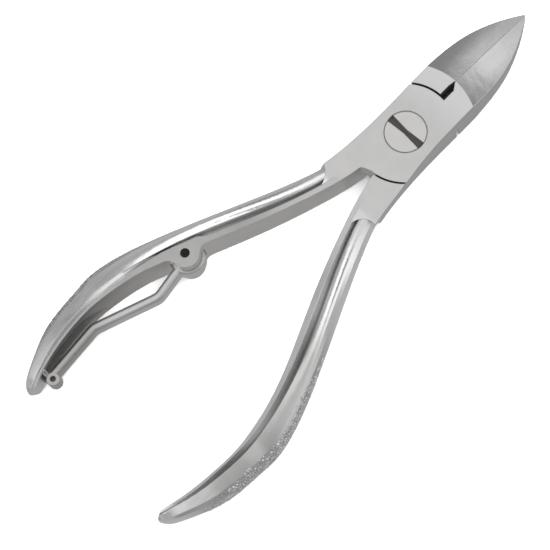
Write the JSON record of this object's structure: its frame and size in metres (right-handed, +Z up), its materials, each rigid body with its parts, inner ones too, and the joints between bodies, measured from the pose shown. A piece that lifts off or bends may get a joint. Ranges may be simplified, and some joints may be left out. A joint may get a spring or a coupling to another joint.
{
  "type": "nail nipper",
  "caption": "Lap-jointed steel nail nipper with pointed side-cutting jaws, bowed handles and a swing arm folded against one handle.",
  "frame": {"origin": "middle of the footprint, on the plane the handles rest on; the pivot axis stands 26 mm along +Y from it", "axes": "+Y towards the jaw tips, +Z up along the pivot axis, +X to the side of the plain handle"},
  "size_m": [0.05, 0.1172, 0.0092],
  "materials": {
    "lever_steel": "satin head flats, polished jaws and handle backs",
    "screw_steel": "satin, ground flush",
    "arm_steel": "polished",
    "pin_steel": "dull"
  },
  "bodies": {
    "upper": {"upper_lever": "lever_steel", "arm_pin": "pin_steel", "catch_pin": "pin_steel"},
    "lower": {"lower_lever": "lever_steel", "pivot_screw": "screw_steel"},
    "arm": {"swing_arm": "arm_steel"}
  },
  "joints": [
    {"name": "jaw_hinge", "type": "hinge", "parent": "upper", "child": "lower", "pos_m": [0, 0.026, 0.0046], "axis": [0, 0, 1], "range_deg": [0, 30]},
    {"name": "arm_hinge", "type": "hinge", "parent": "upper", "child": "arm", "pos_m": [-0.0139, -0.0193, 0.0046], "axis": [0, 0, 1], "range_deg": [0, 66]}
  ]
}
